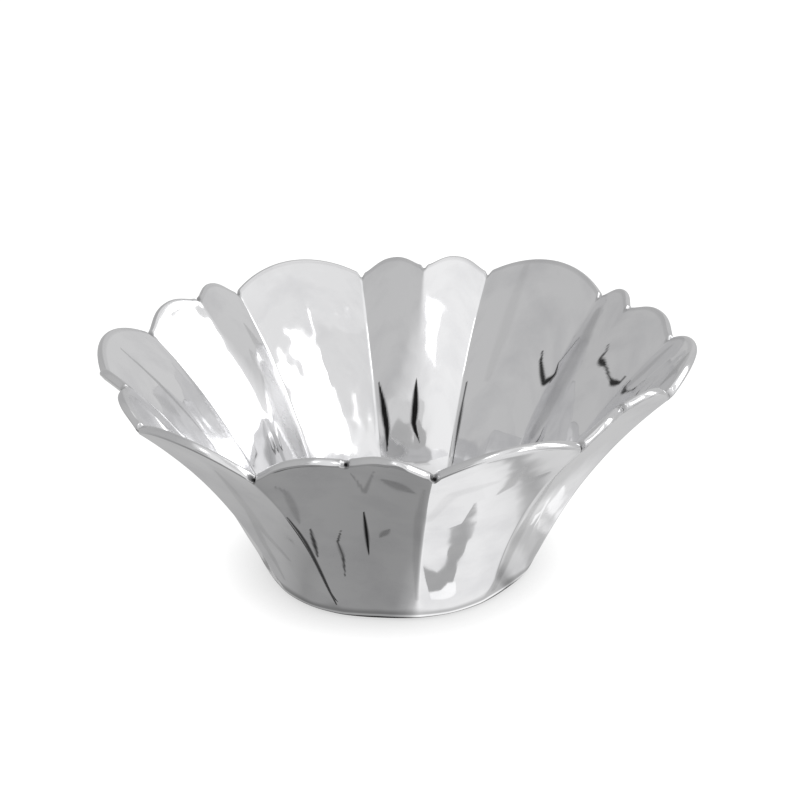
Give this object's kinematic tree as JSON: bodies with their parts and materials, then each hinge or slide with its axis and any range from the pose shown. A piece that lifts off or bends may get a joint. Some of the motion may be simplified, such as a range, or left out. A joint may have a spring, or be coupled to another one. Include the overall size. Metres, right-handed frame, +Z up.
{
  "type": "petal bowl",
  "caption": "Open serving or offering bowl in polished cast aluminium, with a fluted flaring wall, a scalloped petal lip and low round pads under its foot.",
  "frame": {"origin": "middle of the bowl on the surface that it stands on", "axes": "+Z up out of the bowl, +X through the middle of a wide petal, +Y through the split between a pair of narrow petals"},
  "size_m": [0.3049, 0.2863, 0.1268],
  "materials": {
    "polished_casting": "hand-polished cast aluminium, mirror bright with soft waves and faint wipe marks",
    "pad": "smooth soft grey pads, slightly clouded"
  },
  "bodies": {
    "root": {"bowl_casting": "polished_casting", "foot_pad_1": "pad", "foot_pad_2": "pad", "foot_pad_3": "pad", "foot_pad_4": "pad"}
  },
  "joints": []
}
